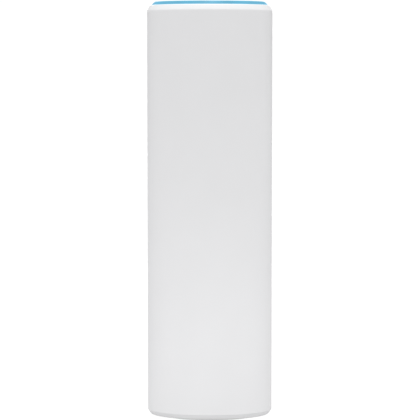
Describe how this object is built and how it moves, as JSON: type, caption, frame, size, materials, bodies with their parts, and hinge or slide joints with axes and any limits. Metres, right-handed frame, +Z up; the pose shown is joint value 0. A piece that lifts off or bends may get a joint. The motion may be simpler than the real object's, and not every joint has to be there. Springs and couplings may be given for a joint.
{
  "type": "mesh wifi node",
  "caption": "Can-shaped mesh wifi node: white moulded sleeve, blue light ring round the top, twist-lock base with foot ring, network socket and reset button in a cable bay.",
  "frame": {"origin": "on the floor, under the middle of the can", "axes": "+Z up along the can, +Y to the back, where the cable arch is, +X to the right seen from the front"},
  "size_m": [0.0484, 0.0484, 0.16],
  "materials": {
    "sleeve_plastic": "fine satin moulded",
    "cap_plastic": "fine satin moulded",
    "base_plastic": "fine moulded",
    "foot_rubber": "soft matt",
    "panel_plastic": "fine moulded",
    "seal_rubber": "smooth",
    "label_film": "printed film, left blank",
    "socket_metal": "tinned",
    "socket_plastic": "moulded",
    "contact_metal": "gold plated",
    "button_plastic": "moulded",
    "switch_plastic": "moulded",
    "stem_plastic": "moulded",
    "board_laminate": "solder mask",
    "light_board_laminate": "white solder mask",
    "frame_plastic": "natural moulded",
    "sink_aluminium": "extruded",
    "chip_epoxy": "moulded epoxy",
    "pad_silicone": "soft",
    "shield_metal": "tinned sheet",
    "ferrite": "sintered, matt",
    "winding": "enamelled wire",
    "magnetics_epoxy": "moulded epoxy",
    "capacitor_can": "drawn can",
    "inductor_body": "pressed powder",
    "carrier_plastic": "moulded",
    "antenna_metal": "stamped sheet",
    "lead_jacket": "extruded",
    "lead_metal": "gold plated",
    "cable_socket_plastic": "moulded",
    "wire_jacket": "extruded",
    "diode_resin": "cast resin",
    "ring_plastic": "milky, lit blue from inside",
    "guide_plastic": "clear",
    "baffle_foam": "foam",
    "screw_steel": "zinc plated"
  },
  "bodies": {
    "housing": {"outer_sleeve": "sleeve_plastic", "port_panel": "panel_plastic", "panel_seal": "seal_rubber", "rating_label": "label_film", "socket_shell": "socket_metal", "socket_insert": "socket_plastic", "socket_contacts": "contact_metal", "reset_switch": "switch_plastic", "main_board": "board_laminate", "board_frame": "frame_plastic", "heat_sink": "sink_aluminium", "processor": "chip_epoxy", "radio_chips": "chip_epoxy", "thermal_pads": "pad_silicone", "memory_chips": "chip_epoxy", "chip_fence": "shield_metal", "shield_fence": "shield_metal", "shield_cover": "shield_metal", "power_amplifiers": "chip_epoxy", "network_transformer": "magnetics_epoxy", "transformer_core": "ferrite", "transformer_bobbin": "winding", "bulk_capacitors": "capacitor_can", "power_inductors": "inductor_body", "flash_chip": "chip_epoxy", "antenna_carrier": "carrier_plastic", "short_antenna_1": "antenna_metal", "short_antenna_2": "antenna_metal", "short_antenna_3": "antenna_metal", "short_antenna_4": "antenna_metal", "tall_antenna_1": "antenna_metal", "tall_antenna_2": "antenna_metal", "lead_sockets": "lead_metal", "lead_plugs": "lead_metal", "aerial_lead_1": "lead_jacket", "aerial_lead_2": "lead_jacket", "aerial_lead_3": "lead_jacket", "aerial_lead_4": "lead_jacket", "aerial_lead_5": "lead_jacket", "aerial_lead_6": "lead_jacket", "light_board": "light_board_laminate", "light_diodes": "diode_resin", "light_cable_sockets": "cable_socket_plastic", "light_cable": "wire_jacket", "light_ring": "ring_plastic", "light_guide": "guide_plastic", "light_baffle": "baffle_foam", "top_cap": "cap_plastic", "panel_screws": "screw_steel", "frame_screws": "screw_steel", "carrier_screws": "screw_steel", "board_screws": "screw_steel", "heat_sink_screws": "screw_steel", "light_board_screws": "screw_steel"},
    "base": {"twist_base": "base_plastic", "foot_ring": "foot_rubber"},
    "reset": {"reset_button": "button_plastic", "reset_switch_stem": "stem_plastic"}
  },
  "joints": [
    {"name": "base_twist", "type": "hinge", "parent": "housing", "child": "base", "pos_m": [0, 0, 0], "axis": [0, 0, 1], "range_deg": [-30, 0]},
    {"name": "reset_press", "type": "slide", "parent": "housing", "child": "reset", "axis": [0, 0, 1], "range_m": [0, 0.0005], "stiffness_N_per_m": 3000}
  ]
}
